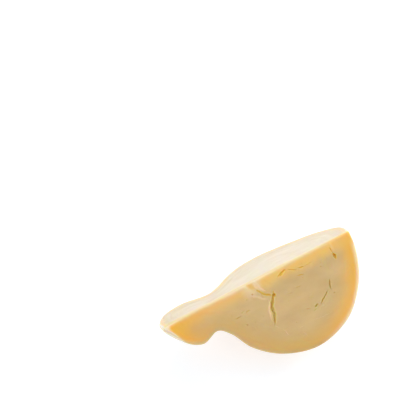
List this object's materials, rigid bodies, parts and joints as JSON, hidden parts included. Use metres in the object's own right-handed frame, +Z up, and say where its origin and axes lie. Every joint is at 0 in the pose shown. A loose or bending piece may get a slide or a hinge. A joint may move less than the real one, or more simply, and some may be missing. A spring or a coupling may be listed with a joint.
{
  "type": "wedge of pear-shaped stretched-curd cheese",
  "caption": "Lengthwise wedge of a pear-shaped stretched-curd cheese, lying on its rind, with a knobbed head, a narrow neck and a cracked cut face. For eating, as food in a scene.",
  "frame": {"origin": "centre of the bounding box's bottom, on the surface that the wedge lies on", "axes": "+X from the head end to the base end, +Y from the cracked cut face towards the plain one, +Z up"},
  "size_m": [0.1702, 0.1002, 0.08],
  "materials": {
    "cheese": "matte cut paste with a satin waxy rind"
  },
  "bodies": {
    "root": {"cheese_wedge": "cheese"}
  },
  "joints": []
}
